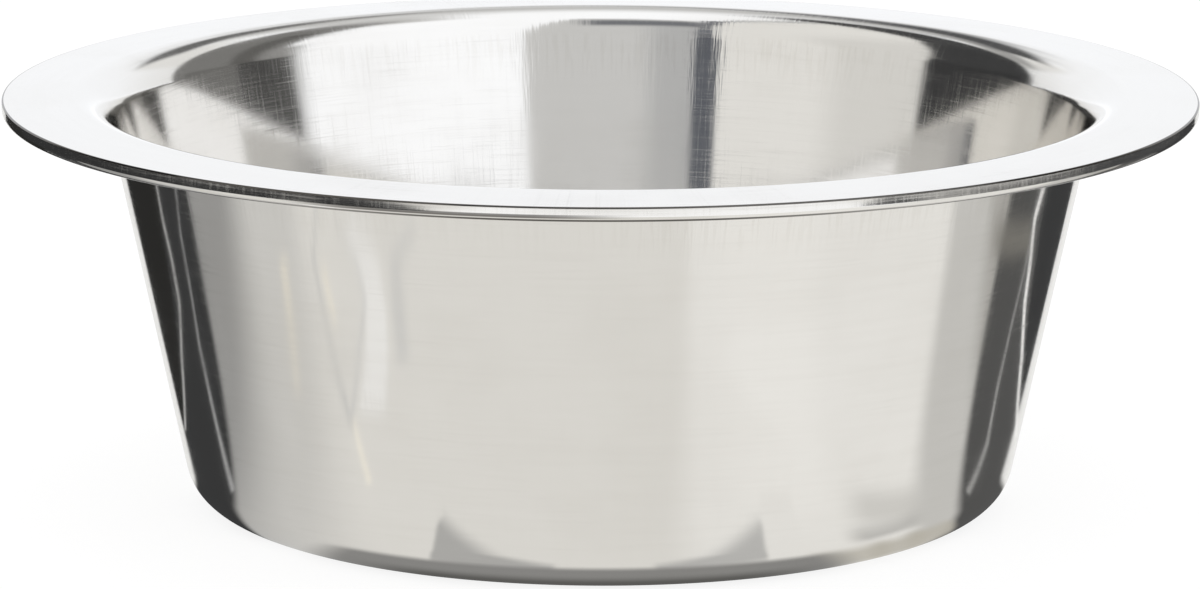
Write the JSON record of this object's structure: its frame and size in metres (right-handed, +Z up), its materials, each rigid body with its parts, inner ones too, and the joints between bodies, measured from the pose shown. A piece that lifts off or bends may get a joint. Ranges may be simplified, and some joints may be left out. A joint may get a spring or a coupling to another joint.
{
  "type": "pet feeding bowl",
  "caption": "Round stainless steel feeding bowl with a leaning wall, a broad flat rim and an edge folded down and rolled under, pressed from one sheet.",
  "frame": {"origin": "middle of the floor that the bowl stands on, on its axis", "axes": "+Z up along the bowl's axis, from the base to the open mouth; X and Y lie in the floor and are alike"},
  "size_m": [0.2028, 0.2028, 0.0704],
  "materials": {
    "polished_steel": "polished with fine circumferential lines"
  },
  "bodies": {
    "root": {"base_panel": "polished_steel", "standing_ring": "polished_steel", "base_corner": "polished_steel", "side_wall": "polished_steel", "neck_bend": "polished_steel", "flat_rim": "polished_steel", "rolled_edge": "polished_steel"}
  },
  "joints": []
}
